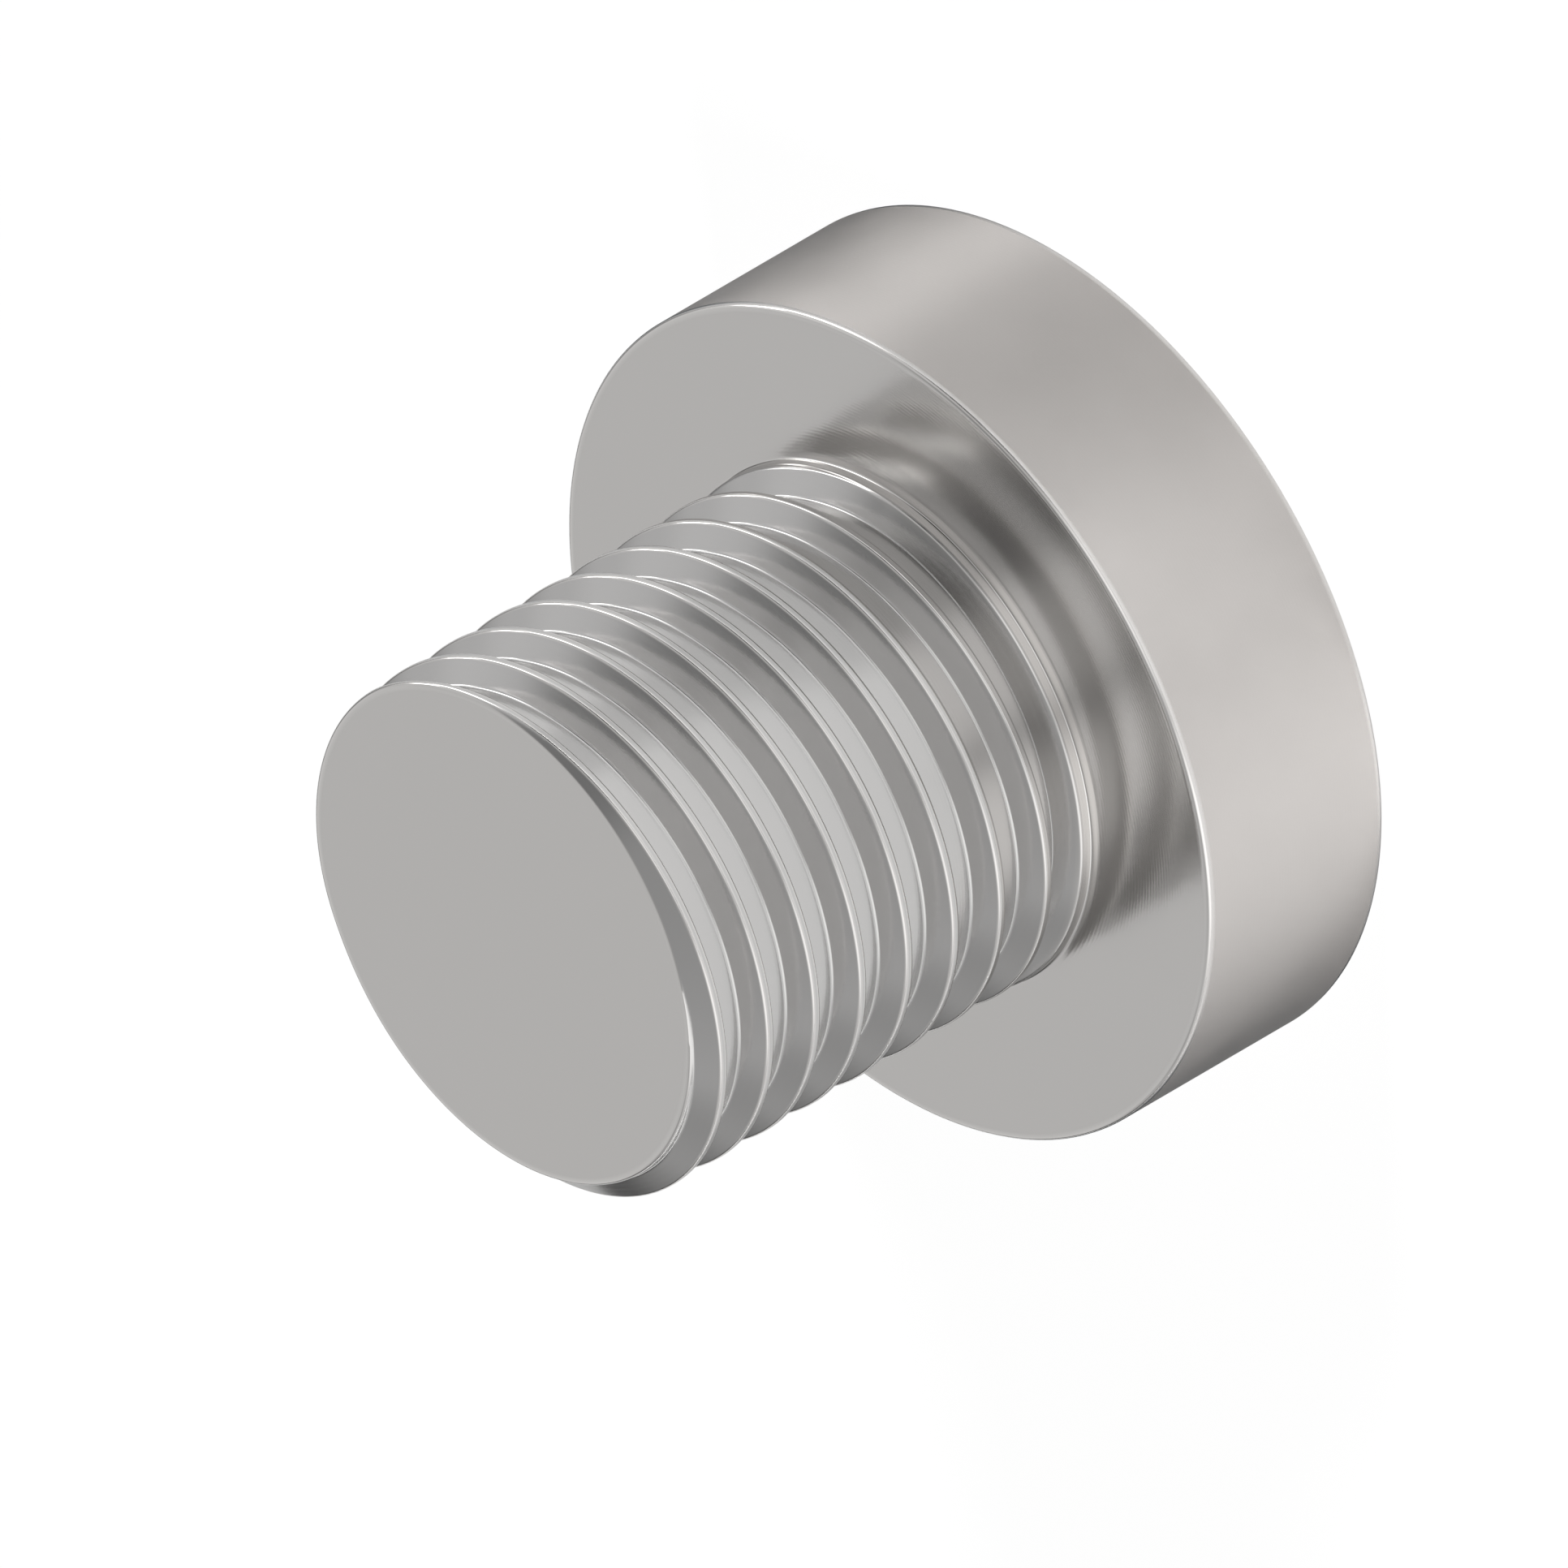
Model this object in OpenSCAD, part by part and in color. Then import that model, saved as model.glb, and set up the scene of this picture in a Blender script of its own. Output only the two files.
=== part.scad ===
// Blanking plug: a screw plug turned from one bar, with a plain round head, a flat bearing face,
// a fine right-hand outside thread up to a flat end, and a hexagon socket in the head to drive it.
// It stands on the outer face of its head. The origin is the centre of that face, and +Z runs
// along the axis towards the threaded end. Sizes are in millimetres and angles in degrees.

/* [Head] */
// Diameter of the head
head_d = 28.5; // [24:0.5:36]
// Thickness of the head, from its outer face to the bearing face
head_h = 7.5; // [5:0.5:12]
// Width of the broken edge on both rims of the head
head_edge = 0.2; // [0.1:0.05:0.6]

/* [Thread] */
// Nominal diameter of the thread, which is also the diameter of the neck under the head
thread_d = 18; // [14:0.5:20]
// Distance from one turn of the thread to the next
pitch = 2; // [1:0.25:3]
// Length of the shank, from the bearing face to its end face
shank_h = 16.5; // [10:0.5:30]
// Depth of the thread from crest to root, as a share of the pitch
depth_share = 0.41; // [0.3:0.01:0.55]
// Flat on each crest, as a share of the pitch
crest_share = 0.125; // [0.08:0.005:0.15]
// Angle of each flank from the plane square to the axis
flank_angle = 30; // [25:1:32]
// Drop of the crests below the nominal radius
crest_drop = 0.02; // [0.01:0.01:0.1]
// Direction round the axis in which a crest meets the end face
start_angle = 0; // [-180:5:180]
// Width of the broken edge round the end face
end_edge = 0.15; // [0.05:0.05:0.3]

/* [Neck] */
// Height of the plain full-diameter ring between the bearing face and the thread
neck_h = 0.4; // [0.2:0.1:2]

/* [Socket] */
// Distance across the flats of the hexagon socket
socket_af = 8; // [5:1:10]
// Depth of the hexagon below the outer face
socket_h = 6.5; // [4:0.5:8]
// Amount by which the drilled hole is wider than the hexagon's flats, as broaching needs
drill_over = 0.2; // [0.05:0.05:0.5]
// Depth of the drilled hole at its full width
drill_h = 7.5; // [4:0.5:10]
// Full angle of the drill point
drill_angle = 118; // [90:1:140]
// Width of the countersink at the socket's mouth, past the hexagon's corners
mouth_edge = 0.3; // [0.1:0.1:1]

/* [Hidden] */

// Pieces of a full turn on the turned surfaces, and columns of facets round the thread
$fn = 96;
columns = 72;
// Corners in one pitch of the thread's section: crest start, crest end, root start, root end
corners_in_pitch = 4;
// Height within which a corner is moved onto the end of its column, so that no sliver is left
snap = 0.01;
// Length by which a cut runs past the face it opens
overcut = 1;
// Depth by which the neck's cone is carried on into the shank below the thread's root
neck_sunk = 0.3;

head_r = head_d / 2;
neck_r = thread_d / 2;
plug_h = head_h + shank_h;
end_z = plug_h - end_edge;

crest_r = neck_r - crest_drop;
root_r = neck_r - depth_share * pitch;
crest_w = crest_share * pitch;
flank_w = (crest_r - root_r) * tan(flank_angle);
corner_rise = [0, crest_w, crest_w + flank_w, pitch - flank_w];

// The thread starts inside the neck, and the helix is laid out from a crest below that
thread_z = head_h + neck_h / 2;
turns = ceil((end_z - thread_z) / pitch) + 2;
first_crest_z = end_z - crest_w / 2 - pitch * (turns + start_angle / 360);
corners = corners_in_pitch * (turns + 3);

neck_top = head_h + neck_h;
cone_r = root_r - neck_sunk;
cone_top = neck_top + (neck_r - cone_r) * tan(flank_angle);
socket_corner_d = socket_af / cos(30);
mouth_r = socket_corner_d / 2 + mouth_edge;
drill_r = (socket_af + drill_over) / 2;
drill_point_h = drill_r / tan(drill_angle / 2);

// Height of corner k of the thread's section on column i, on a helix that rises with the angle
function corner_z(i, k) =
    first_crest_z
    + pitch * (i / columns + floor(k / corners_in_pitch))
    + corner_rise[k % corners_in_pitch];

// The same height, kept between the thread's two ends
function seated_z(i, k) =
    let (z = corner_z(i, k))
    z < thread_z + snap ? thread_z : z > end_z - snap ? end_z : z;

// Radius of the thread on column i at height z: full on the crest, then down the flank to the root
function thread_radius(i, z) =
    let (
        turn = (z - first_crest_z) / pitch - i / columns,
        past_start = (turn - floor(turn)) * pitch,
        off_crest = max(0, min(past_start - crest_w, pitch - past_start))
    )
    max(root_r, crest_r - off_crest / tan(flank_angle));

function on_column(i, radius, z) =
    let (angle = 360 * i / columns)
    [radius * cos(angle), radius * sin(angle), z];

// Number of corners on column i that lie below height z
function corners_below(i, z) =
    len([for (k = [0 : corners - 1]) if (corner_z(i, k) < z) k]);

// A face is left out where two of its corners are the same point
function real_faces(faces) =
    [for (f = faces) if (f[0] != f[1] && f[1] != f[2] && f[2] != f[0]) f];

module head_and_neck() {
    rotate_extrude()
        polygon([
            [0, 0],
            [head_r - head_edge, 0],
            [head_r, head_edge],
            [head_r, head_h - head_edge],
            [head_r - head_edge, head_h],
            [neck_r, head_h],
            [neck_r, neck_top],
            [cone_r, cone_top],
            [0, cone_top],
        ]);
}

// Columns of facets follow the helix. Each column ends on the neck below and on the end face above,
// and its corners past either end all stand at that end.
module outside_thread() {
    lowest = [for (i = [0 : columns - 1]) corners_below(i, thread_z + snap) - 1];
    highest = [for (i = [0 : columns - 1]) corners_below(i, end_z - snap)];

    shank_points = [
        for (i = [0 : columns - 1], k = [0 : corners - 1])
            let (z = seated_z(i, k))
            on_column(i, thread_radius(i, z), z)
    ];
    rim_points = [
        for (i = [0 : columns - 1])
            on_column(i, thread_radius(i, end_z) - end_edge, plug_h)
    ];
    rim = len(shank_points);
    bottom_centre = rim + columns;
    top_centre = bottom_centre + 1;

    function at(i, k) = i * corners + min(max(k, lowest[i]), highest[i]);
    function next(i) = (i + 1) % columns;
    // The last column meets the first one turn of the helix further up
    function lift(i) = i + 1 < columns ? 0 : corners_in_pitch;

    side_faces = [
        for (i = [0 : columns - 1], k = [0 : corners - 2])
            let (
                a = at(i, k),
                b = at(next(i), k + lift(i)),
                c = at(next(i), k + lift(i) + 1),
                d = at(i, k + 1)
            )
            each [[a, c, b], [a, d, c]]
    ];
    end_faces = [
        for (i = [0 : columns - 1])
            let (
                a = at(i, corners - 1),
                b = at(next(i), corners - 1),
                foot_a = at(i, 0),
                foot_b = at(next(i), 0),
                rim_a = rim + i,
                rim_b = rim + next(i)
            )
            each [
                [a, rim_b, b],
                [a, rim_a, rim_b],
                [rim_a, top_centre, rim_b],
                [foot_a, foot_b, bottom_centre]
            ]
    ];

    polyhedron(
        points = concat(shank_points, rim_points, [[0, 0, thread_z], [0, 0, plug_h]]),
        faces = real_faces(concat(side_faces, end_faces)),
        convexity = turns
    );
}

module hexagon_socket() {
    translate([0, 0, -overcut])
        cylinder(d = socket_corner_d, h = socket_h + overcut, $fn = 6);
    rotate_extrude()
        polygon([
            [0, -overcut],
            [mouth_r + overcut, -overcut],
            [drill_r, mouth_r - drill_r],
            [drill_r, drill_h],
            [0, drill_h + drill_point_h],
        ]);
}

module plug_body() {
    color([0.68, 0.68, 0.67])
        difference() {
            union() {
                head_and_neck();
                outside_thread();
            }
            hexagon_socket();
        }
}

plug_body();
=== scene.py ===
"""Studio scene of a turned steel blanking plug.

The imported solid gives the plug's place and size. Its visible surface is worked out again here as
one smooth closed mesh with rounded edges, finished as fine-turned stainless steel, and it stands
on the outer face of its head on a pale floor. Lengths are in millimetres until a mesh is made.
"""
import logging
import math
from dataclasses import dataclass, field
from enum import Enum

import bpy
import numpy as np
from mathutils import Matrix, Vector


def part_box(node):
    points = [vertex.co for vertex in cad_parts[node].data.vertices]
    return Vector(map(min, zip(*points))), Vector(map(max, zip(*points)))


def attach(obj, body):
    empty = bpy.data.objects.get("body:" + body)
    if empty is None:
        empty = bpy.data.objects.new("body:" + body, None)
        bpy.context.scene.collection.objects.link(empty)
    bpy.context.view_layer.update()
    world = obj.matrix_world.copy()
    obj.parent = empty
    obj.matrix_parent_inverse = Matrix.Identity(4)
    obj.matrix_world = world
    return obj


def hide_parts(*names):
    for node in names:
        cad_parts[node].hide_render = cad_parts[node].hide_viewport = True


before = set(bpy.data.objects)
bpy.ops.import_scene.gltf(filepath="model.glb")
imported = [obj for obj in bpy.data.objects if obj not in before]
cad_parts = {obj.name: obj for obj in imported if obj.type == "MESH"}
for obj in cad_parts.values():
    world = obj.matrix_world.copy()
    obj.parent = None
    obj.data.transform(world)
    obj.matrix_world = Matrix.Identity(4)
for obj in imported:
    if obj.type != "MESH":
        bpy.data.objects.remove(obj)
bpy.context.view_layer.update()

MM = 0.001
FULL_TURN = 2 * math.pi
# Digits of a millimetre kept of a size read from the frame, and those to which points are welded
SIZE_DIGITS = 3
WELD_DIGITS = 4
# Nearly all values of a noise texture lie in this span
NOISE_LOW, NOISE_HIGH = 0.25, 0.75
LOG = logging.getLogger("blanking_plug")


def linear(hex_colour: str) -> tuple[float, float, float, float]:
    """Turn an sRGB hex colour into linear light, by the sRGB standard's own curve.

    Args:
        hex_colour: Six hex digits, such as "C0BDBA".

    Returns:
        Linear red, green and blue with an alpha of 1.
    """
    share = np.array([int(hex_colour[i:i + 2], 16) for i in (0, 2, 4)]) / 255
    light = np.where(share <= 0.04045, share / 12.92, ((share + 0.055) / 1.055) ** 2.4)
    return (*light.tolist(), 1.0)


def add_node(
    tree: bpy.types.NodeTree,
    kind: str,
    settings: dict[str, object] | None = None,
    links: dict[str | int, object] | None = None,
) -> bpy.types.Node:
    """Add a node with its settings and its incoming links or values.

    Args:
        tree: Node tree that takes the node.
        kind: Blender's name of the node type.
        settings: Properties of the node itself.
        links: Input socket to the output socket that feeds it, or to a plain value.

    Returns:
        The new node.
    """
    node = tree.nodes.new(kind)
    for name, value in (settings or {}).items():
        setattr(node, name, value)
    for socket, source in (links or {}).items():
        if isinstance(source, bpy.types.NodeSocket):
            tree.links.new(source, node.inputs[socket])
        else:
            node.inputs[socket].default_value = source
    return node


def rounded_outline(
    corners: np.ndarray, radii: list[float], steps: int, margin: float
) -> tuple[np.ndarray, np.ndarray]:
    """Round the inner corners of an open outline.

    Each corner becomes an arc that touches both of its sides: it starts and ends at radius times
    the tangent of half the turn from the corner. A plain point stands a margin beyond each end of
    the arc, so that what is painted on the edge fades out there.

    Args:
        corners: Points of the outline, one row each. The first and the last are kept as they are.
        radii: Rounding radius of each corner between the first and the last, 0 for a sharp one.
        steps: Pieces in each arc.
        margin: Distance from an arc's end to the plain point beyond it.

    Returns:
        The points of the rounded outline, and 1 for each point on an arc or 0 for a plain one.
    """
    points, on_edge = [corners[:1]], [np.zeros(1)]
    for before, corner, after, radius in zip(corners, corners[1:], corners[2:], radii):
        into = (corner - before) / np.linalg.norm(corner - before)
        out = (after - corner) / np.linalg.norm(after - corner)
        if radius == 0:
            points.append(corner[None])
            on_edge.append(np.zeros(1))
            continue
        turn = math.atan2(into[0] * out[1] - into[1] * out[0], into @ out)
        reach = radius * math.tan(abs(turn) / 2)
        side = math.copysign(1, turn) * np.array([-into[1], into[0]])
        centre = corner - reach * into + radius * side
        angle = np.linspace(0, abs(turn), steps + 1)[:, None]
        arc = centre - radius * side * np.cos(angle) + radius * into * np.sin(angle)
        plain_in = corner - (reach + margin) * into
        plain_out = corner + (reach + margin) * out
        points.append(np.vstack([plain_in, arc, plain_out]))
        on_edge.append(np.concatenate([[0], np.ones(steps + 1), [0]]))
    points.append(corners[-1:])
    on_edge.append(np.zeros(1))
    return np.vstack(points), np.concatenate(on_edge)


@dataclass
class Rings:
    """A stack of rings round the axis: each row is one ring, each column one direction.

    Args:
        radius: Distance from the axis, rows by columns, in millimetres.
        height: Height above the floor, rows by columns, in millimetres.
        edge: 1 where the point lies on a rounded edge, 0 elsewhere. It carries the burnish and the
            painted highlight.
        region: Number of the finish that the faces above each ring take.
    """

    radius: np.ndarray
    height: np.ndarray
    edge: np.ndarray
    region: np.ndarray

    @classmethod
    def stack(cls, parts: list["Rings"]) -> "Rings":
        """Put one stack of rings on top of another."""
        return cls(
            radius=np.concatenate([part.radius for part in parts]),
            height=np.concatenate([part.height for part in parts]),
            edge=np.concatenate([part.edge for part in parts]),
            region=np.concatenate([part.region for part in parts]),
        )


class Region(Enum):
    """Where a face of the plug lies, which decides how its surface was cut."""

    TURNED_SIDE = 0
    FACED = 1
    THREAD = 2
    SOCKET = 3


@dataclass(frozen=True)
class TurnedSteel:
    """Stainless steel, fine-turned on a lathe and lightly polished.

    The tool leaves a spiral of marks a feed apart, which the eye takes for a slight, even change
    of gloss. Handling has burnished the edges smoother, in patches, and there a painted highlight
    makes them brighter.

    Args:
        name: Name of the material.
        colour: Colour of the metal, sRGB hex.
        edge_highlight_colour: Painted highlight: the brighter colour of the burnished edges, sRGB
            hex.
        rim_tint: How much of the glancing reflection is left, sRGB hex.
        roughness: Roughness of the cut surface.
        edge_roughness: Roughness of the burnished edges.
        anisotropy: Stretch of the reflections across the tool marks.
        feed: Distance between the tool marks, in millimetres. The 0.06 mm of a real finishing cut
            is too fine to show in the render, so they are drawn twice as far apart.
        mark_depth: Depth of the tool marks as drawn by the bump, in millimetres.
        across: True where the marks follow one another outwards, as on a faced end.
        patch: Size of the patches in which gloss and wear vary, in millimetres.
        patch_gloss: Share by which the roughness goes up and down from patch to patch.
        mark_gloss: Share by which the roughness goes up and down across a tool mark.
        least_edge_wear_and_highlight: Burnish and painted highlight of the edges in the patches
            that handling reached least.
        edge_wear_and_highlight_span: Values of the noise from which the burnish and the painted
            highlight rise, and at which they are full.
    """

    name: str
    colour: str = "D9D7D5"
    edge_highlight_colour: str = "E2E0DE"
    rim_tint: str = "E4E4E4"
    roughness: float = 0.16
    edge_roughness: float = 0.1
    anisotropy: float = 0.0
    feed: float = 0.12
    mark_depth: float = 0.0002
    across: bool = True
    patch: float = 4.0
    patch_gloss: float = 0.1
    mark_gloss: float = 0.06
    least_edge_wear_and_highlight: float = 0.55
    edge_wear_and_highlight_span: tuple[float, float] = (0.3, 0.6)

    def make(self) -> bpy.types.Material:
        """Build the node material.

        Returns:
            The material.
        """
        material = bpy.data.materials.new(self.name)
        material.use_nodes = True
        tree = material.node_tree
        tree.nodes.clear()
        place = add_node(tree, "ShaderNodeTexCoord").outputs["Object"]
        patches = add_node(
            tree, "ShaderNodeTexNoise", {"noise_dimensions": "3D"},
            {"Vector": place, "Scale": 1 / (self.patch * MM), "Detail": 3.0, "Roughness": 0.55},
        ).outputs["Fac"]
        mark = self.tool_marks(tree, place)
        burnish_and_highlight = self.burnish_and_highlight(tree, patches)
        # Painted highlight: the burnished edges take the brighter edge colour
        colour = add_node(
            tree, "ShaderNodeMix", {"data_type": "RGBA"},
            {0: burnish_and_highlight, 6: linear(self.colour), 7: linear(self.edge_highlight_colour)},
        )
        height = add_node(
            tree, "ShaderNodeMath", {"operation": "MULTIPLY"}, {0: mark, 1: self.mark_depth * MM}
        )
        bump = add_node(
            tree, "ShaderNodeBump",
            links={"Strength": 1.0, "Distance": 1.0, "Height": height.outputs[0]},
        )
        tangent = add_node(
            tree, "ShaderNodeTangent", {"direction_type": "UV_MAP", "uv_map": "turning"}
        )
        # A quarter turn lays the stretch of the reflections across the marks, not along them
        shader = add_node(
            tree, "ShaderNodeBsdfPrincipled",
            links={
                "Base Color": colour.outputs[2],
                "Metallic": 1.0,
                "Specular Tint": linear(self.rim_tint),
                "Roughness": self.gloss(tree, patches, mark, burnish_and_highlight),
                "Anisotropic": self.anisotropy,
                "Anisotropic Rotation": 0.25,
                "Normal": bump.outputs[0],
                "Tangent": tangent.outputs[0],
            },
        )
        add_node(tree, "ShaderNodeOutputMaterial", links={0: shader.outputs[0]})
        return material

    def tool_marks(
        self, tree: bpy.types.NodeTree, place: bpy.types.NodeSocket
    ) -> bpy.types.NodeSocket:
        """Draw the tool marks as a wave from -1 to 1.

        It is the sine of 2 pi times a distance over the feed: on a faced end the distance from the
        axis, and on a turned side the height.

        Args:
            tree: Node tree of the material.
            place: Place on the plug.

        Returns:
            Value of the wave.
        """
        parts = add_node(tree, "ShaderNodeSeparateXYZ", links={0: place})
        flat = add_node(
            tree, "ShaderNodeCombineXYZ", links={0: parts.outputs[0], 1: parts.outputs[1]}
        )
        outwards = add_node(
            tree, "ShaderNodeVectorMath", {"operation": "LENGTH"}, {0: flat.outputs[0]}
        )
        along = outwards.outputs["Value"] if self.across else parts.outputs[2]
        turns = add_node(
            tree, "ShaderNodeMath", {"operation": "MULTIPLY"},
            {0: along, 1: FULL_TURN / (self.feed * MM)},
        )
        mark = add_node(tree, "ShaderNodeMath", {"operation": "SINE"}, {0: turns.outputs[0]})
        return mark.outputs[0]

    def burnish_and_highlight(
        self, tree: bpy.types.NodeTree, patches: bpy.types.NodeSocket
    ) -> bpy.types.NodeSocket:
        """Find how far handling has burnished the edges and how strong their painted highlight is,
        more in some patches.

        Args:
            tree: Node tree of the material.
            patches: Noise that varies from patch to patch.

        Returns:
            1 on a fully burnished edge with its full painted highlight, 0 away from the edges.
        """
        edge = add_node(
            tree, "ShaderNodeAttribute", {"attribute_name": "edge", "attribute_type": "GEOMETRY"}
        ).outputs["Fac"]
        wear_with_highlight = add_node(
            tree, "ShaderNodeMapRange", {"clamp": True},
            {0: patches, 1: self.edge_wear_and_highlight_span[0], 2: self.edge_wear_and_highlight_span[1], 3: self.least_edge_wear_and_highlight, 4: 1.0},
        )
        return add_node(
            tree, "ShaderNodeMath", {"operation": "MULTIPLY"}, {0: edge, 1: wear_with_highlight.outputs[0]}
        ).outputs[0]

    def gloss(
        self,
        tree: bpy.types.NodeTree,
        patches: bpy.types.NodeSocket,
        mark: bpy.types.NodeSocket,
        burnish_and_highlight: bpy.types.NodeSocket,
    ) -> bpy.types.NodeSocket:
        """Vary the roughness from patch to patch, across the marks and towards burnished edges.

        Args:
            tree: Node tree of the material.
            patches: Noise that varies from patch to patch.
            mark: Wave of the tool marks.
            burnish_and_highlight: How far the surface is burnished; the same share paints the
                highlight.

        Returns:
            The roughness.
        """
        patchy = add_node(
            tree, "ShaderNodeMapRange", {"clamp": True},
            {0: patches, 1: NOISE_LOW, 2: NOISE_HIGH,
             3: self.roughness * (1 - self.patch_gloss),
             4: self.roughness * (1 + self.patch_gloss)},
        )
        streaked = add_node(
            tree, "ShaderNodeMath", {"operation": "MULTIPLY_ADD"},
            {0: mark, 1: self.roughness * self.mark_gloss, 2: patchy.outputs[0]},
        )
        return add_node(
            tree, "ShaderNodeMix", {"data_type": "FLOAT"},
            {0: burnish_and_highlight, 2: streaked.outputs[0], 3: self.edge_roughness},
        ).outputs[0]


@dataclass
class BlankingPlug:
    """The plug: head, bearing face, neck, helical thread, end face and hexagon socket.

    Args:
        head_d: Diameter of the head.
        plug_h: Height of the plug, from the outer face of the head to the end face.
        head_h: Thickness of the head.
        thread_d: Nominal diameter of the thread and of the neck.
        pitch: Distance from one turn of the thread to the next.
        depth_share: Depth of the thread as a share of the pitch.
        crest_share: Flat on each crest as a share of the pitch.
        flank_angle: Angle of each flank from the plane square to the axis, in degrees.
        crest_drop: Drop of the crests below the nominal radius.
        neck_h: Height of the full-diameter ring between the bearing face and the thread.
        socket_af: Width of the hexagon socket across its flats.
        socket_h: Depth of the hexagon.
        drill_over: Amount by which the drilled hole is wider than the flats.
        drill_h: Depth of the drilled hole at its full width.
        drill_angle: Full angle of the drill point, in degrees.
        mouth_edge: Width of the countersink past the hexagon's corners.
        rim_round: Rounding of the head's rims.
        crest_round: Rounding of the crest's and the neck's edges.
        root_round: Rounding of the thread's root.
        end_round: Rounding of the end face's rim.
        end_blend: Width over which that rounding and the thread's flank change over.
        end_bevel: Width of the narrow bevel between that rounding and the end face.
        foot_round: Rounding where the neck meets the bearing face.
        foot_h: Height above the bearing face up to which the neck is drawn with the head.
        run_out_h: Height above the bearing face from which the thread's run-out is drawn.
        run_out_rings: Rings from there to the end of the neck's cone.
        cone_sunk: Depth by which the neck's cone goes on below the thread's root.
        columns: Directions round the axis. A multiple of six puts one on each hexagon corner.
        arc_steps: Pieces in each rounded edge.
        fade: Distance over which the burnish and its painted highlight fade out beside an edge.
        crest_fade: The same distance beside the edges of the thread's crests.
        sharp_angle: Angle between two faces from which their edge is a sharp one, in degrees.
    """

    head_d: float
    plug_h: float
    head_h: float = 7.5
    thread_d: float = 18.0
    pitch: float = 2.0
    depth_share: float = 0.41
    crest_share: float = 0.125
    flank_angle: float = 30.0
    crest_drop: float = 0.02
    neck_h: float = 0.4
    socket_af: float = 8.0
    socket_h: float = 6.5
    drill_over: float = 0.2
    drill_h: float = 7.5
    drill_angle: float = 118.0
    mouth_edge: float = 0.3
    rim_round: float = 0.15
    crest_round: float = 0.12
    root_round: float = 0.12
    end_round: float = 0.12
    end_blend: float = 0.05
    end_bevel: float = 0.04
    foot_round: float = 0.06
    foot_h: float = 0.24
    run_out_h: float = 0.3
    run_out_rings: int = 40
    cone_sunk: float = 0.2
    columns: int = 240
    arc_steps: int = 4
    fade: float = 0.12
    crest_fade: float = 0.03
    sharp_angle: float = 35.0
    angles: np.ndarray = field(init=False)

    def __post_init__(self) -> None:
        """Work out the directions of the columns."""
        self.angles = np.arange(self.columns) * FULL_TURN / self.columns

    @property
    def neck_r(self) -> float:
        """Radius of the neck."""
        return self.thread_d / 2

    @property
    def crest_r(self) -> float:
        """Radius of the thread's crests."""
        return self.neck_r - self.crest_drop

    @property
    def root_r(self) -> float:
        """Radius of the thread's root."""
        return self.neck_r - self.depth_share * self.pitch

    @property
    def crest_w(self) -> float:
        """Width of the flat on each crest."""
        return self.crest_share * self.pitch

    @property
    def flank_slope(self) -> float:
        """Rise of a flank along the axis for each millimetre that it goes outwards."""
        return math.tan(math.radians(self.flank_angle))

    @property
    def mouth_r(self) -> float:
        """Radius of the countersink at the socket's mouth."""
        return self.socket_af / 2 / math.cos(math.pi / 6) + self.mouth_edge

    @property
    def end_z(self) -> float:
        """Height at which the rounding of the end face's rim starts."""
        return self.plug_h - self.end_round

    def rings(
        self, radius: np.ndarray, height: np.ndarray, edge: np.ndarray, region: Region
    ) -> Rings:
        """Spread an outline, or one ring's radii, over all columns.

        Args:
            radius: One radius a ring, or rings by columns.
            height: One height a ring.
            edge: 1 for each ring on a rounded edge and 0 for a plain one, or rings by columns.
            region: Where the faces above each ring lie.

        Returns:
            The stack of rings.
        """
        spread = [
            np.broadcast_to(part[:, None] if part.ndim == 1 else part, (len(height), self.columns))
            for part in (radius, height, edge)
        ]
        return Rings(*(part.copy() for part in spread), np.full(len(height), region.value))

    def thread_section(self) -> tuple[np.ndarray, np.ndarray, np.ndarray]:
        """Outline of one pitch of the thread with rounded crest and root.

        Returns:
            Rise above the start of the crest, radius, and 1 on a crest's edge or 0 elsewhere.
        """
        flank_w = (self.crest_r - self.root_r) * self.flank_slope
        corners = np.array([
            [-flank_w, self.root_r],
            [0, self.crest_r],
            [self.crest_w, self.crest_r],
            [self.crest_w + flank_w, self.root_r],
            [self.pitch - flank_w, self.root_r],
            [self.pitch, self.crest_r],
        ])
        radii = [self.crest_round, self.crest_round, self.root_round, self.root_round]
        points, edge = rounded_outline(corners, radii, self.arc_steps, self.crest_fade)
        points, edge = points[1:-1], edge[1:-1]
        # Handling burnishes the crests, where the painted highlight goes, and doesn't reach the
        # root
        edge = edge * (points[:, 1] > (self.crest_r + self.root_r) / 2)
        return points[:, 0], points[:, 1], edge

    def thread_radius(self, angle: np.ndarray, height: np.ndarray) -> np.ndarray:
        """Radius of the thread: the section at the height less a pitch for each turn.

        Args:
            angle: Direction round the axis, in radians.
            height: Height above the floor.

        Returns:
            The radius for each pair of angle and height.
        """
        rise, radius, _ = self.thread_section()
        turn_rise = height - self.plug_h + self.crest_w / 2 - self.pitch * angle / FULL_TURN
        return np.interp(turn_rise, rise, radius, period=self.pitch)

    def socket_rings(self) -> Rings:
        """Drill point, drilled hole, hexagon and countersink, from the bottom to the mouth.

        The hexagon's radius in a direction is half its width over the cosine of the angle to the
        nearest flat's middle. The hole is as wide as the wider of the hexagon and the drill.

        Returns:
            The socket's rings.
        """
        sixth = FULL_TURN / 6
        from_flat = (self.angles % sixth) - sixth / 2
        hexagon = self.socket_af / 2 / np.cos(from_flat)
        drill_r = (self.socket_af + self.drill_over) / 2
        wide = np.maximum(hexagon, drill_r)
        point_h = drill_r / math.tan(math.radians(self.drill_angle / 2))
        level = np.ones(self.columns)
        radius = np.stack([
            0 * level, drill_r * level, drill_r * level, wide, wide, self.mouth_r * level
        ])
        height = np.stack([
            (self.drill_h + point_h) * level,
            self.drill_h * level,
            self.socket_h * level,
            self.socket_h * level,
            self.mouth_r - wide,
            0 * level,
        ])
        return Rings(radius, height, 0 * radius, np.full(len(radius), Region.SOCKET.value))

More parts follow.
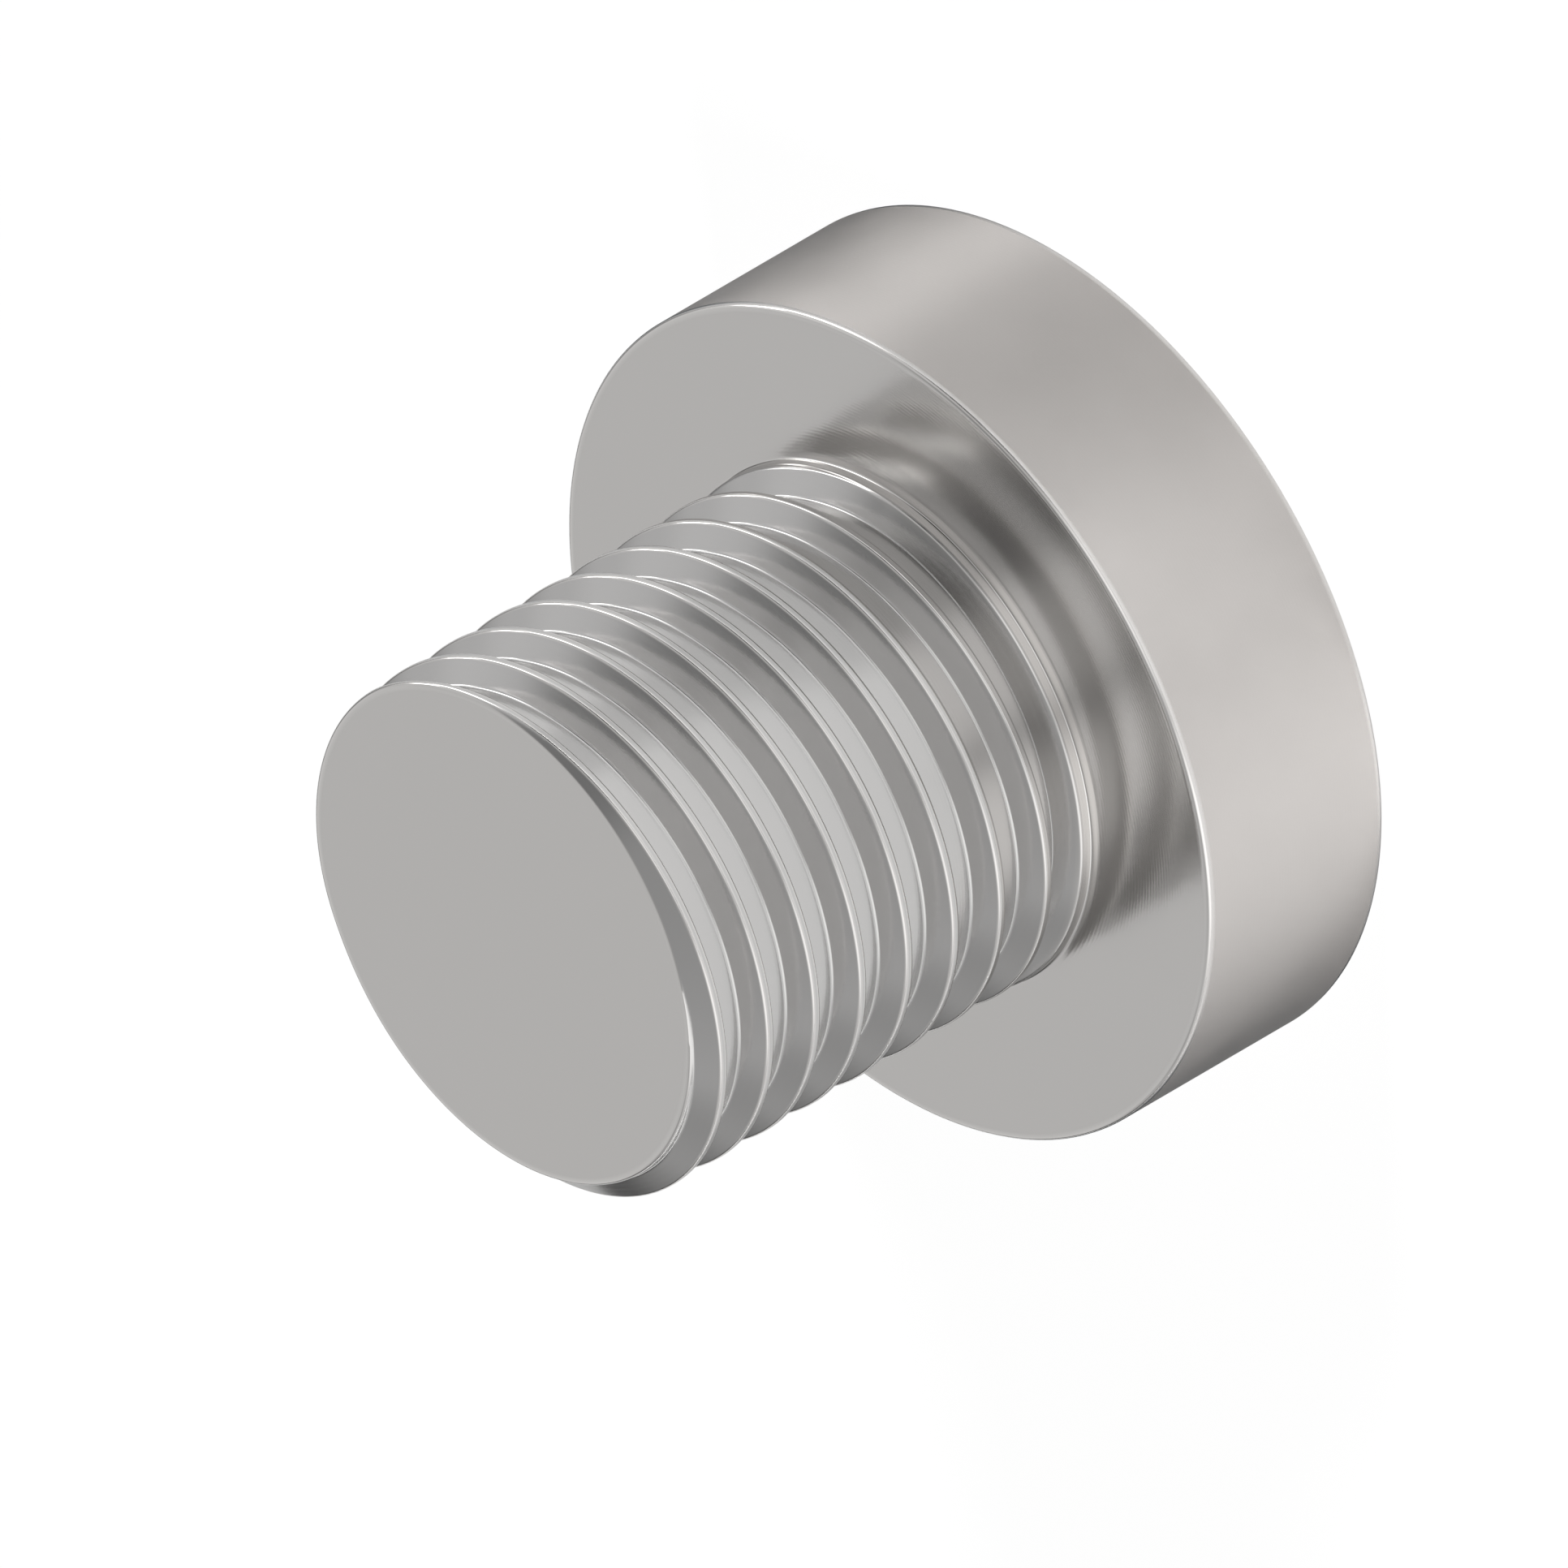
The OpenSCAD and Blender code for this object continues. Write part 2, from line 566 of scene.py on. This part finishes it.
    def head_rings(self) -> Rings:
        """Outer face, side and bearing face of the head, up to the foot of the neck.

        Returns:
            The head's rings.
        """
        head_r = self.head_d / 2
        corners = np.array([
            [self.mouth_r, 0],
            [head_r, 0],
            [head_r, self.head_h],
            [self.neck_r, self.head_h],
            [self.neck_r, self.head_h + self.foot_h],
        ])
        radii = [self.rim_round, self.rim_round, self.foot_round]
        points, edge = rounded_outline(corners, radii, self.arc_steps, self.fade)
        # Handling burnishes the rims, where the painted highlight goes, and doesn't reach the
        # neck's foot
        by_foot = np.linalg.norm(points - corners[3], axis=1) < 2 * self.fade
        edge = np.where(by_foot, 0, edge)
        # The countersink's last ring already stands on the first point
        points, edge = points[1:], edge[1:]
        rings = self.rings(points[:, 0], points[:, 1], edge, Region.FACED)
        from_face = np.minimum(points[:, 1], self.head_h - points[:, 1])
        rings.region[from_face > self.rim_round / 2] = Region.TURNED_SIDE.value
        return rings

    def neck_rings(self) -> Rings:
        """Neck and the thread's run-out, where the wider of the neck's cone and the thread shows.

        Returns:
            Closely spaced level rings from the neck's foot to the end of its cone.
        """
        top = self.head_h + self.neck_h
        cone_r = self.root_r - self.cone_sunk
        cone_top = top + (self.neck_r - cone_r) * self.flank_slope
        corners = np.array([[self.head_h, self.neck_r], [top, self.neck_r], [cone_top, cone_r]])
        outline, _ = rounded_outline(
            corners, [self.crest_round], self.arc_steps, self.crest_fade
        )
        heights = np.linspace(self.head_h + self.run_out_h, cone_top, self.run_out_rings)
        neck = np.interp(heights, outline[:, 0], outline[:, 1])
        thread = self.thread_radius(self.angles[None], heights[:, None])
        radius = np.maximum(neck[:, None], thread)
        # Burnish and painted highlight on the neck's top edge, fading out to both sides
        edge = np.clip(1 - np.abs(heights - top) / self.fade, 0, 1)
        return self.rings(radius, heights, edge, Region.THREAD)

    def thread_rings(self, start_z: float) -> Rings:
        """The helical thread: rows that rise a pitch each turn, held between its two ends.

        Row k of the grid lies at the section's rise for k, plus a pitch for each whole section
        below it and for each turn of the angle. Heights past an end are put at that end, where
        the radius is worked out again.

        Args:
            start_z: Height of the thread's lower end.

        Returns:
            The thread's rows, of which the last column meets the first one pitch higher up.
        """
        rise, _, edge = self.thread_section()
        # Spare turns past both ends let every column reach from one end to the other
        turns = math.ceil((self.end_z - start_z) / self.pitch) + 2
        sections = turns + 2
        base = self.plug_h - self.crest_w / 2 - turns * self.pitch
        rows = (rise[None] + self.pitch * np.arange(sections)[:, None]).ravel()
        height = base + rows[:, None] + self.pitch * self.angles[None] / FULL_TURN
        height = np.clip(height, start_z, self.end_z)
        radius = self.thread_radius(self.angles[None], height)
        edges = np.broadcast_to(np.tile(edge, sections)[:, None], height.shape).copy()
        # Where rows are held at the end face's rim, that rim has its own burnish and painted
        # highlight
        edges[height >= self.end_z] = 0
        return Rings(radius, height, edges, np.full(len(rows), Region.THREAD.value))

    def end_rings(self) -> Rings:
        """Rounded rim of the end face, and the face itself, in to the axis.

        The rim follows the outline that the thread leaves. Where the thread's flank falls faster
        than the rounding, the flank goes on up to a narrow bevel round the face. The lesser radius
        of the two is taken with a soft change-over: half of their sum less the hypotenuse of their
        difference and of the change-over's width.

        Returns:
            The end's rings.
        """
        outline = self.thread_radius(self.angles, np.full(self.columns, self.end_z))
        angle = np.linspace(0, math.pi / 2, self.arc_steps + 1)[:, None]
        heights = (self.end_z + self.end_round * np.sin(angle)).ravel()
        thread = self.thread_radius(self.angles[None], heights[:, None])
        rounded = outline[None] - self.end_round * (1 - np.cos(angle))
        blend = self.end_blend * np.sin(angle)
        rim = (rounded + thread - np.hypot(rounded - thread, blend)) / 2
        wear_with_highlight = np.clip(0.5 + (thread - rounded) / self.end_blend, 0, 1)
        # The first ring goes on from the thread, and the bevel's two are worn and carry the painted
        # highlight all the way round
        wear_with_highlight[0], wear_with_highlight[-2:] = 0, 1
        rim[-1] -= self.end_bevel
        inner, axis = rim[-1:] - self.fade, np.zeros((1, self.columns))
        radius = np.vstack([rim, inner, axis])
        height = np.concatenate([heights, [self.plug_h, self.plug_h]])
        rings = self.rings(radius, height, np.vstack([wear_with_highlight, axis, axis]), Region.FACED)
        # Up to the bevel, the rim takes the thread's finish
        rings.region[:self.arc_steps - 1] = Region.THREAD.value
        return rings

    def build(self, finishes: dict[Region, TurnedSteel]) -> bpy.types.Object:
        """Make the plug's mesh and dress it.

        Args:
            finishes: The finish of each region.

        Returns:
            The finished piece, standing at the origin.
        """
        points, edge, faces, regions = self.surface()
        mesh = bpy.data.meshes.new("turned_plug")
        mesh.from_pydata(points * MM, [], faces)
        edge_layer = mesh.attributes.new("edge", "FLOAT", "POINT")
        edge_layer.data.foreach_set("value", edge.astype(np.float32))
        turning = mesh.uv_layers.new(name="turning")
        turning.data.foreach_set("uv", self.unrolled(points[faces]).astype(np.float32).ravel())
        for region in Region:
            mesh.materials.append(finishes[region].make())
        mesh.polygons.foreach_set("material_index", regions.astype(np.int32))
        mesh.polygons.foreach_set("use_smooth", np.ones(len(faces), bool))
        mesh.validate()
        mesh.update()
        mesh.set_sharp_from_angle(angle=math.radians(self.sharp_angle))
        piece = bpy.data.objects.new("turned_plug", mesh)
        bpy.context.scene.collection.objects.link(piece)
        weighted = piece.modifiers.new("flat_faces_stay_flat", "WEIGHTED_NORMAL")
        weighted.keep_sharp = True
        LOG.info("turned_plug: %d faces, %d points", len(mesh.polygons), len(mesh.vertices))
        return piece

    def surface(self) -> tuple[np.ndarray, np.ndarray, np.ndarray, np.ndarray]:
        """Join the rings of all parts to one closed surface.

        Rings that meet, poles and rows held at an end fall on the same points. These are welded,
        and the triangles that they leave without width are dropped.

        Returns:
            Points in millimetres, 1 for each point on a worn edge with its painted highlight,
            triangles by point number, and the region of each triangle.
        """
        lower = Rings.stack([self.socket_rings(), self.head_rings(), self.neck_rings()])
        thread = self.thread_rings(float(lower.height[-1, 0]))
        parts = [lower, thread, self.end_rings()]
        rows_in_pitch = len(self.thread_section()[0])

        points = np.concatenate([self.points(part) for part in parts])
        edge = np.concatenate([part.edge.ravel() for part in parts])
        faces, regions, first = [], [], 0
        for part, lift in zip(parts, (0, rows_in_pitch, 0)):
            made, of_ring = self.ring_faces(part, lift)
            faces.append(made + first)
            regions.append(part.region[of_ring])
            first += part.radius.size
        _, keep, same = np.unique(
            np.round(points, WELD_DIGITS), axis=0, return_index=True, return_inverse=True
        )
        faces = same.reshape(-1)[np.concatenate(faces)]
        whole = (faces != np.roll(faces, 1, axis=1)).all(axis=1)
        return points[keep], edge[keep], faces[whole], np.concatenate(regions)[whole]

    def unrolled(self, corners: np.ndarray) -> np.ndarray:
        """Unroll the surface: the angle over a full turn, and the height over the plug's height.

        Each face's angles are kept within half a turn of its middle, so that none is stretched
        back across the seam.

        Args:
            corners: Corners of each triangle, in millimetres.

        Returns:
            Two coordinates for each corner.
        """
        angle = np.arctan2(corners[..., 1], corners[..., 0])
        middle = np.arctan2(corners[..., 1].mean(1), corners[..., 0].mean(1))[:, None]
        angle = middle + (angle - middle + math.pi) % FULL_TURN - math.pi
        return np.stack([angle / FULL_TURN + 0.5, corners[..., 2] / self.plug_h], axis=-1)

    def points(self, rings: Rings) -> np.ndarray:
        """Place rings in space: radius times cosine and sine of the angle, and the height."""
        return np.stack([
            (rings.radius * np.cos(self.angles)).ravel(),
            (rings.radius * np.sin(self.angles)).ravel(),
            rings.height.ravel(),
        ], axis=1)

    def ring_faces(self, rings: Rings, lift: int) -> tuple[np.ndarray, np.ndarray]:
        """Join each ring to the next with two triangles a column.

        Args:
            rings: The stack of rings.
            lift: Rows by which the first column is further up where the last column meets it.

        Returns:
            Triangles by point number, facing outwards, and the ring that each one stands on.
        """
        rows, columns = rings.radius.shape
        number = np.arange(rows * columns).reshape(rows, columns)
        beside = np.roll(number, -1, axis=1)
        if lift:
            lifted = np.minimum(np.arange(rows) + lift, rows - 1)
            beside[:, -1] = number[lifted, 0]
        a, b, c, d = number[:-1], beside[:-1], beside[1:], number[1:]
        of_ring = np.broadcast_to(np.arange(rows - 1)[:, None], a.shape)
        triangles = np.concatenate([
            np.stack([a, b, c], axis=-1).reshape(-1, 3),
            np.stack([a, c, d], axis=-1).reshape(-1, 3),
        ])
        return triangles, np.concatenate([of_ring.ravel(), of_ring.ravel()])


@dataclass
class Camera:
    """A camera without perspective, as the picture was made.

    Args:
        azimuth: Direction from the plug to the camera round the plug's axis, in degrees.
        elevation: Height of the camera above the plane square to the axis, in degrees.
        axis_angle: Direction in the picture in which the plug's axis points, in degrees.
        pixels_per_mm: Scale of the picture.
        picture_px: Width and height of the picture.
        distance: Distance of the camera from the plug, in millimetres.
    """

    azimuth: float = -80.0
    elevation: float = 33.9
    axis_angle: float = 210.24
    pixels_per_mm: float = 39.85
    picture_px: float = 1932.0
    distance: float = 300.0

    def build(self, centre: Vector) -> None:
        """Place the camera so that the axis points the right way in the picture.

        The picture's right and up are the axis seen flat and its square, turned by axis_angle.

        Args:
            centre: Point in the middle of the picture, in millimetres.
        """
        azimuth, elevation = math.radians(self.azimuth), math.radians(self.elevation)
        towards = Vector((
            math.cos(azimuth) * math.cos(elevation),
            math.sin(azimuth) * math.cos(elevation),
            math.sin(elevation),
        ))
        axis = Vector((0, 0, 1))
        flat_axis = (axis - axis.dot(towards) * towards).normalized()
        square = towards.cross(flat_axis)
        turn = math.radians(self.axis_angle)
        right = math.cos(turn) * flat_axis - math.sin(turn) * square
        up = math.sin(turn) * flat_axis + math.cos(turn) * square
        data = bpy.data.cameras.new("camera")
        data.type = "ORTHO"
        data.ortho_scale = self.picture_px / self.pixels_per_mm * MM
        camera = bpy.data.objects.new("camera", data)
        place = (centre + towards * self.distance) * MM
        facing = Matrix((right, up, towards)).transposed().to_4x4()
        camera.matrix_world = Matrix.Translation(place) @ facing
        bpy.context.scene.collection.objects.link(camera)
        bpy.context.scene.camera = camera


@dataclass(frozen=True)
class Lamp:
    """One soft lamp, aimed at the plug.

    Args:
        name: Name of the lamp.
        azimuth: Direction from the plug, counted from the camera's, in degrees.
        elevation: Height above the floor, in degrees.
        side_mm: Width and height of the lamp.
        floor_share: What it gives a white floor at the plug, where 1 is full white.
        colour: Colour of the light, sRGB hex.
        distance: Distance from the plug, in millimetres.
    """

    name: str
    azimuth: float
    elevation: float
    side_mm: float
    floor_share: float
    colour: str = "FFFFFF"
    distance: float = 600.0

    def build(self, camera_azimuth: float) -> None:
        """Place the lamp.

        A lamp of power P at distance d lights the floor by P sin(elevation) / (pi d^2), of which
        a white floor sends back one part in pi.

        Args:
            camera_azimuth: Direction of the camera, in degrees.
        """
        turn, rise = math.radians(camera_azimuth + self.azimuth), math.radians(self.elevation)
        away = Vector((
            math.cos(turn) * math.cos(rise), math.sin(turn) * math.cos(rise), math.sin(rise)
        ))
        data = bpy.data.lights.new(self.name, "AREA")
        data.shape = "SQUARE"
        data.size = self.side_mm * MM
        data.energy = self.floor_share * (math.pi * self.distance * MM) ** 2 / math.sin(rise)
        data.color = linear(self.colour)[:3]
        light = bpy.data.objects.new(self.name, data)
        light.location = away * self.distance * MM
        light.rotation_euler = away.to_track_quat("Z", "Y").to_euler()
        # Polished metal would show each lamp as a glaring square, so it mirrors the room instead
        light.visible_glossy = False
        bpy.context.scene.collection.objects.link(light)


@dataclass(frozen=True)
class Window:
    """A broad soft patch of light in the room, as the metal mirrors it.

    Args:
        azimuth: Direction of its middle, counted from the camera's, in degrees.
        elevation: Height of its middle above the floor, in degrees.
        spread: Angle from its middle at which it has faded out, in degrees.
        gain: Brightness that it adds in the middle, negative for a dimmer patch.
    """

    azimuth: float
    elevation: float
    spread: float
    gain: float

    def add(
        self, tree: bpy.types.NodeTree, look: bpy.types.NodeSocket,
        level: bpy.types.NodeSocket, camera_azimuth: float,
    ) -> bpy.types.NodeSocket:
        """Add the window to the room's brightness.

        It fades by a smooth step of the cosine of the angle from its middle.

        Args:
            tree: Node tree of the world.
            look: Direction of the ray.
            level: Brightness so far.
            camera_azimuth: Direction of the camera, in degrees.

        Returns:
            Brightness with the window.
        """
        turn, rise = math.radians(camera_azimuth + self.azimuth), math.radians(self.elevation)
        middle = (math.cos(turn) * math.cos(rise), math.sin(turn) * math.cos(rise), math.sin(rise))
        near = add_node(
            tree, "ShaderNodeVectorMath", {"operation": "DOT_PRODUCT"}, {0: look, 1: middle}
        )
        share = add_node(
            tree, "ShaderNodeMapRange", {"clamp": True, "interpolation_type": "SMOOTHSTEP"},
            {0: near.outputs["Value"], 1: math.cos(math.radians(self.spread)), 2: 1.0,
             3: 0.0, 4: self.gain},
        )
        return add_node(
            tree, "ShaderNodeMath", {"operation": "ADD"}, {0: level, 1: share.outputs[0]}
        ).outputs[0]


@dataclass
class Studio:
    """Pale floor, soft world and soft lamps.

    An upright surface mirrors what stands at twice its own angle from the camera, so each window
    makes a streak half as far round the plug as it stands itself. Left and right are meant as in
    the picture, where a positive direction is towards the upper left.

    Args:
        azimuth: Direction of the camera, from which the lamps' directions are counted.
        floor_mm: Width of the floor.
        floor_drop: Depth of the floor below the plug's foot, in millimetres.
        horizon: Brightness of the room near the horizon, as the metal mirrors it.
        zenith: Brightness of the room overhead, as the metal mirrors it.
        horizon_top: Sine of the elevation from which the room grows darker.
        fill: What the room gives a white floor, where 1 is full white.
        glow: Strength of the floor's own glow. A little over 1 makes up for the matt part.
        glow_seen: Part of the floor's look in the picture that is that even glow.
        glow_mirrored: The same part as the metal mirrors it, where shadows stay deep.
        paper: Colour of the floor's matt part, sRGB hex.
        lamps: Name, azimuth, elevation, size and floor share of each lamp. They light the floor
            alone, and the head's side mirrors the plug's shadows on it. With the fill they give a
            white floor a little over 1.
        windows: Azimuth, elevation, spread and gain of each window.
    """

    azimuth: float
    floor_mm: float = 2000.0
    floor_drop: float = 0.02
    horizon: float = 0.75
    zenith: float = 0.44
    horizon_top: float = 0.3
    fill: float = 0.03
    glow: float = 1.04
    glow_seen: float = 0.9
    glow_mirrored: float = 0.06
    paper: str = "F0F0F0"
    lamps: tuple[Lamp, ...] = (
        Lamp("left_lamp", 49, 22, 130, 0.52),
        Lamp("right_lamp", -36, 22, 130, 0.21),
        Lamp("side_lamp", -125, 20, 90, 0.31),
    )
    windows: tuple[Window, ...] = (
        # Behind the camera: lights the crests that face it
        Window(0, 34, 30, 0.52),
        # The wide bright band right of the middle of the head's side
        Window(-70, 25, 38, 0.75),
        # The narrow bright streak on the left of the head's side, with a dimmer one beside it
        Window(98, 0, 21, 3.3),
        Window(64, 2, 20, -0.35),
        Window(44, -2, 34, -0.72),
        # The sparks on the crests at the left, and the paler flanks there
        Window(122, 19, 8, 5.0),
        Window(128, 42, 20, 0.18),
        # The dark ends of the head's side
        Window(155, -10, 34, -0.6),
        Window(-150, -12, 34, -0.8),
        # The shaded parts of the flanks, left of the middle and at the right
        Window(98, 68, 24, -0.2),
        Window(-140, 26, 22, -0.22),
    )

    def seen(self, tree: bpy.types.NodeTree) -> bpy.types.NodeSocket:
        """Tell the rays that show a surface from those that only light it.

        Args:
            tree: Node tree that takes the nodes.

        Returns:
            1 for camera, glossy and transmission rays, 0 for the rest.
        """
        path = add_node(tree, "ShaderNodeLightPath").outputs
        metal = add_node(
            tree, "ShaderNodeMath", {"operation": "MAXIMUM"},
            {0: path["Is Camera Ray"], 1: path["Is Glossy Ray"]},
        )
        return add_node(
            tree, "ShaderNodeMath", {"operation": "MAXIMUM"},
            {0: metal.outputs[0], 1: path["Is Transmission Ray"]},
        ).outputs[0]

    def floor(self) -> None:
        """Make the floor: a matt pale sheet that shows as white with a light shadow."""
        half = self.floor_mm / 2 * MM
        mesh = bpy.data.meshes.new("floor")
        mesh.from_pydata(
            [(-half, -half, 0), (half, -half, 0), (half, half, 0), (-half, half, 0)],
            [], [(0, 1, 2, 3)],
        )
        floor = bpy.data.objects.new("floor", mesh)
        floor.location.z = -self.floor_drop * MM
        material = bpy.data.materials.new("matt_paper")
        material.use_nodes = True
        tree = material.node_tree
        tree.nodes.clear()
        paper = add_node(tree, "ShaderNodeBsdfDiffuse", links={"Color": linear(self.paper)})
        glow = add_node(tree, "ShaderNodeEmission", links={"Strength": self.glow})
        camera_ray = add_node(tree, "ShaderNodeLightPath").outputs["Is Camera Ray"]
        part = add_node(
            tree, "ShaderNodeMix", {"data_type": "FLOAT"},
            {0: camera_ray, 2: self.glow_mirrored, 3: self.glow_seen},
        )
        share = add_node(
            tree, "ShaderNodeMath", {"operation": "MULTIPLY"},
            {0: part.outputs[0], 1: self.seen(tree)},
        )
        mixed = add_node(
            tree, "ShaderNodeMixShader",
            links={0: share.outputs[0], 1: paper.outputs[0], 2: glow.outputs[0]},
        )
        add_node(tree, "ShaderNodeOutputMaterial", links={0: mixed.outputs[0]})
        mesh.materials.append(material)
        bpy.context.scene.collection.objects.link(floor)

    def room(self) -> None:
        """Make the world: a soft room, a little darker overhead, and white behind the floor."""
        world = bpy.data.worlds.new("soft_room")
        bpy.context.scene.world = world
        world.use_nodes = True
        tree = world.node_tree
        tree.nodes.clear()
        look = add_node(tree, "ShaderNodeTexCoord").outputs["Generated"]
        up = add_node(tree, "ShaderNodeSeparateXYZ", links={0: look})
        room = add_node(
            tree, "ShaderNodeMapRange", {"clamp": True},
            {0: up.outputs[2], 1: self.horizon_top, 2: 1.0, 3: self.horizon, 4: self.zenith},
        )
        shown = room.outputs[0]
        for window in self.windows:
            shown = window.add(tree, look, shown, self.azimuth)
        level = add_node(
            tree, "ShaderNodeMix", {"data_type": "FLOAT"},
            {0: self.seen(tree), 2: self.fill, 3: shown},
        )
        camera_ray = add_node(tree, "ShaderNodeLightPath").outputs["Is Camera Ray"]
        behind = add_node(
            tree, "ShaderNodeMix", {"data_type": "FLOAT"},
            {0: camera_ray, 2: level.outputs[0], 3: 1.0},
        )
        sky = add_node(
            tree, "ShaderNodeBackground",
            links={"Color": linear("FFFFFF"), "Strength": behind.outputs[0]},
        )
        add_node(tree, "ShaderNodeOutputWorld", links={0: sky.outputs[0]})

    def build(self) -> None:
        """Make the floor, the room and the lamps."""
        self.floor()
        self.room()
        for lamp in self.lamps:
            lamp.build(self.azimuth)


def main() -> None:
    """Build the plug, the camera and the studio in order."""
    logging.basicConfig(level=logging.INFO, format="%(name)s: %(message)s")
    bpy.context.scene.view_settings.view_transform = "Standard"
    low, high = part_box("plug_body")
    size = (high - low) / MM
    camera = Camera()
    camera.build(Vector((0, 0, size.z / 2)))
    LOG.info("camera in place")
    plug = BlankingPlug(head_d=round(size.x, SIZE_DIGITS), plug_h=round(size.z, SIZE_DIGITS))
    finishes = {
        # Stainless steel turned along its length: what it mirrors is drawn out into soft streaks
        # along the axis, and it darkens where the eye glances along it
        Region.TURNED_SIDE: TurnedSteel(
            "stainless_steel_turned", colour="D5D1CE", rim_tint="5A6166", across=False,
            roughness=0.36, anisotropy=0.95,
        ),
        # Stainless steel faced with a fine feed: an even satin sheen that mirrors only what is near
        Region.FACED: TurnedSteel("stainless_steel_faced"),
        # Stainless steel cut by a thread tool: painted shade makes it a shade darker than the
        # faces, and a painted highlight makes the crests bright
        Region.THREAD: TurnedSteel(
            "stainless_steel_thread_cut", colour="C4C3C2", edge_highlight_colour="D2D0CE", across=False,
            mark_depth=0.0001,
        ),
        # Stainless steel broached and left as cut: duller and blurred, deep in the socket
        Region.SOCKET: TurnedSteel("stainless_steel_broached", across=False, roughness=0.25),
    }
    piece = plug.build(finishes)
    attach(piece, "root")
    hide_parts("plug_body")
    Studio(camera.azimuth).build()
    LOG.info("studio in place")


if __name__ == "__main__":
    main()
